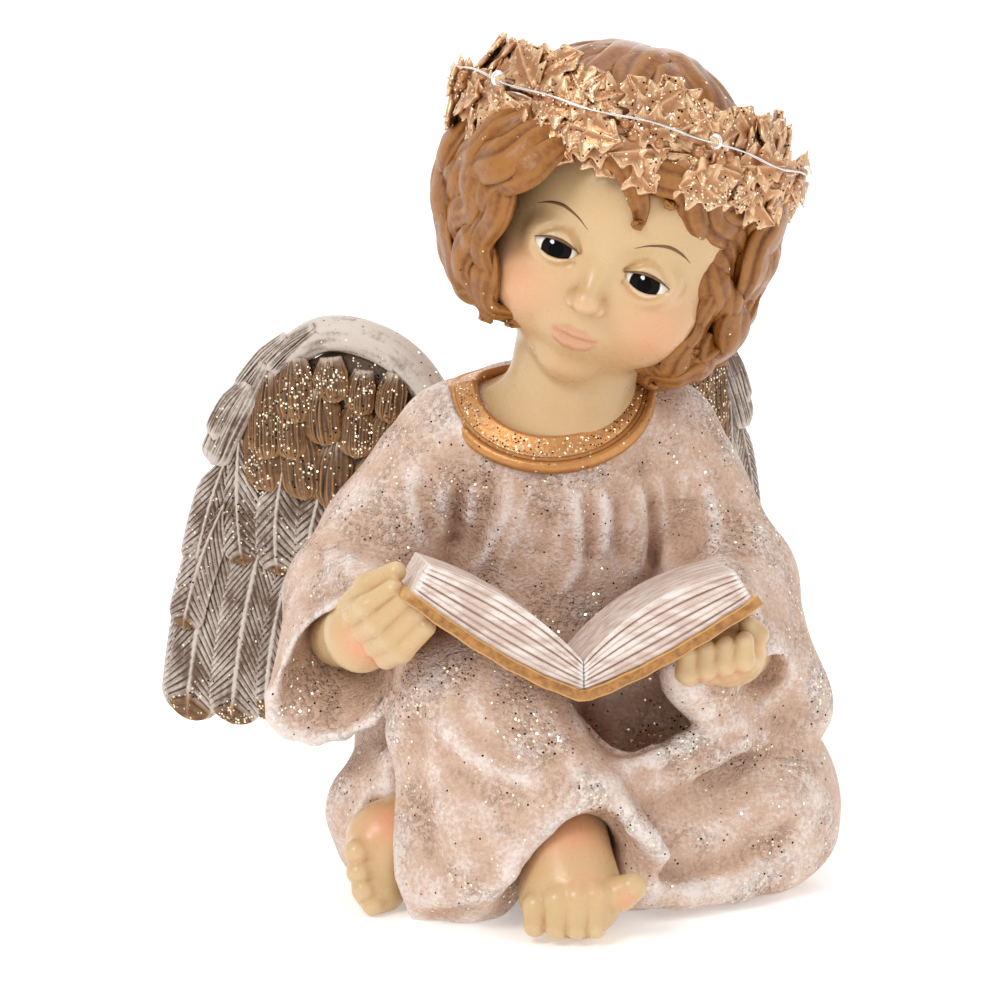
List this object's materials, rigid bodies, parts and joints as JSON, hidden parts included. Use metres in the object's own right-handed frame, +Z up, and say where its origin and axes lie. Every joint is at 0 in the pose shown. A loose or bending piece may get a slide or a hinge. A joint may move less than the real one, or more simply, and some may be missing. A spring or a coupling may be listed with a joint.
{
  "type": "resin angel figurine",
  "caption": "Seated child angel in cast resin, reading an open book, with swept-back wings and a leaf wreath that carries battery-powered LED drops.",
  "frame": {"origin": "centre of the whole object's box in X and Y, on the plane of the resting rim", "axes": "+Z up, -Y towards the viewer that the face looks at, +X to that viewer's right"},
  "size_m": [0.1484, 0.161, 0.1808],
  "materials": {
    "robe_resin": "cast resin, taupe paint with white dry-brush and glitter",
    "skin_resin": "cast resin, cream paint with peach blush, satin",
    "hair_resin": "cast resin, brown paint with tan dry-brush, satin",
    "wreath_gold": "rose-gold metallic paint with glitter",
    "wire_metal": "bare twin strand",
    "led_lens": "clear cast drop",
    "led_chip": "yellow phosphor",
    "collar_gold": "gold paint with coarse glitter",
    "cover_paint": "ochre brown paint, satin",
    "page_paint": "white paint with brown wash in the grooves",
    "wing_resin": "cast resin, taupe paint with white dry-brush and gold glitter",
    "pin_steel": "plain",
    "base_plastic": "fine texture",
    "door_plastic": "fine texture",
    "cell_jacket": "printed jacket",
    "contact_metal": "nickel plated",
    "board_green": "solder mask",
    "switch_black": "satin",
    "lead_insulation": "soft insulation"
  },
  "bodies": {
    "figure": {"robe_body": "robe_resin", "right_sleeve": "robe_resin", "left_sleeve": "robe_resin", "right_hand": "skin_resin", "left_hand": "skin_resin", "right_foot": "skin_resin", "left_foot": "skin_resin", "head": "skin_resin", "hair": "hair_resin", "wreath_ring": "wreath_gold", "wreath_leaves": "wreath_gold", "wreath_berries": "wreath_gold", "led_wire": "wire_metal", "led_drops": "led_lens", "led_chips": "led_chip", "collar_trim": "collar_gold", "book_cover": "cover_paint", "right_pages": "page_paint", "left_pages": "page_paint", "right_wing": "wing_resin", "left_wing": "wing_resin", "wing_pins": "pin_steel", "base_plate": "base_plastic", "battery_box": "base_plastic", "aaa_cells": "cell_jacket", "spring_contacts": "contact_metal", "plate_contacts": "contact_metal", "circuit_board": "board_green", "switch_body": "switch_black", "lead_wires": "lead_insulation"},
    "battery_door": {"battery_door": "door_plastic"},
    "switch_knob": {"switch_knob": "switch_black"}
  },
  "joints": [
    {"name": "battery_door_slide", "type": "slide", "parent": "figure", "child": "battery_door", "axis": [1, 0, 0], "range_m": [0, 0.009]},
    {"name": "switch_slide", "type": "slide", "parent": "figure", "child": "switch_knob", "axis": [1, 0, 0], "range_m": [0, 0.003]}
  ]
}
